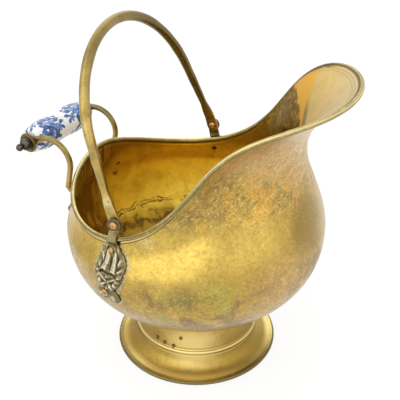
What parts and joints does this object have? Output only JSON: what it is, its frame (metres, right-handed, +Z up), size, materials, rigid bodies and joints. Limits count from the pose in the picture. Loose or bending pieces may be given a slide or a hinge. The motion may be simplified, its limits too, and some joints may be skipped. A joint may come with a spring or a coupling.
{
  "type": "coal scuttle",
  "caption": "Helmet-shaped footed brass coal scuttle with a wide pouring lip, a swinging bail on lion-mask lugs and a porcelain grip at the back.",
  "frame": {"origin": "middle of the foot's ring on the floor", "axes": "+Z up, +X to the pouring lip, +Y to the left side as seen from behind the grip; the grip is at -X"},
  "size_m": [0.3381, 0.2727, 0.3564],
  "materials": {
    "body_brass": "satin",
    "bail_brass": "satin",
    "washer_brass": "satin",
    "copper_rivet": "satin",
    "cast_lug": "satin",
    "iron_wire": "satin",
    "porcelain": "gloss",
    "dark_nut": "satin"
  },
  "bodies": {
    "scuttle": {"bowl": "body_brass", "upper_body": "body_brass", "foot": "body_brass", "handle_rod_left": "bail_brass", "handle_rod_right": "bail_brass", "cup_washer_left": "washer_brass", "cup_washer_right": "washer_brass", "foot_rivets": "copper_rivet", "lug_rivets": "copper_rivet", "leaf_rivets": "copper_rivet", "pivot_rivet_left": "copper_rivet", "pivot_rivet_right": "copper_rivet", "lion_lug_left": "cast_lug", "lion_lug_right": "cast_lug", "rim_wire": "iron_wire", "foot_wire": "iron_wire", "grip_spindle": "iron_wire", "end_nut_left": "dark_nut", "end_nut_right": "dark_nut"},
    "bail": {"bail": "bail_brass"},
    "grip": {"porcelain_grip": "porcelain"}
  },
  "joints": [
    {"name": "bail_swing", "type": "hinge", "parent": "scuttle", "child": "bail", "pos_m": [-0.03, 0, 0.20273], "axis": [-0.0181, 0.9995, 0.0249], "range_deg": [-55, 75]},
    {"name": "grip_turn", "type": "hinge", "parent": "scuttle", "child": "grip", "pos_m": [-0.165, 0, 0.224], "axis": [0.0785, 0.9969, 0], "continuous": true}
  ]
}
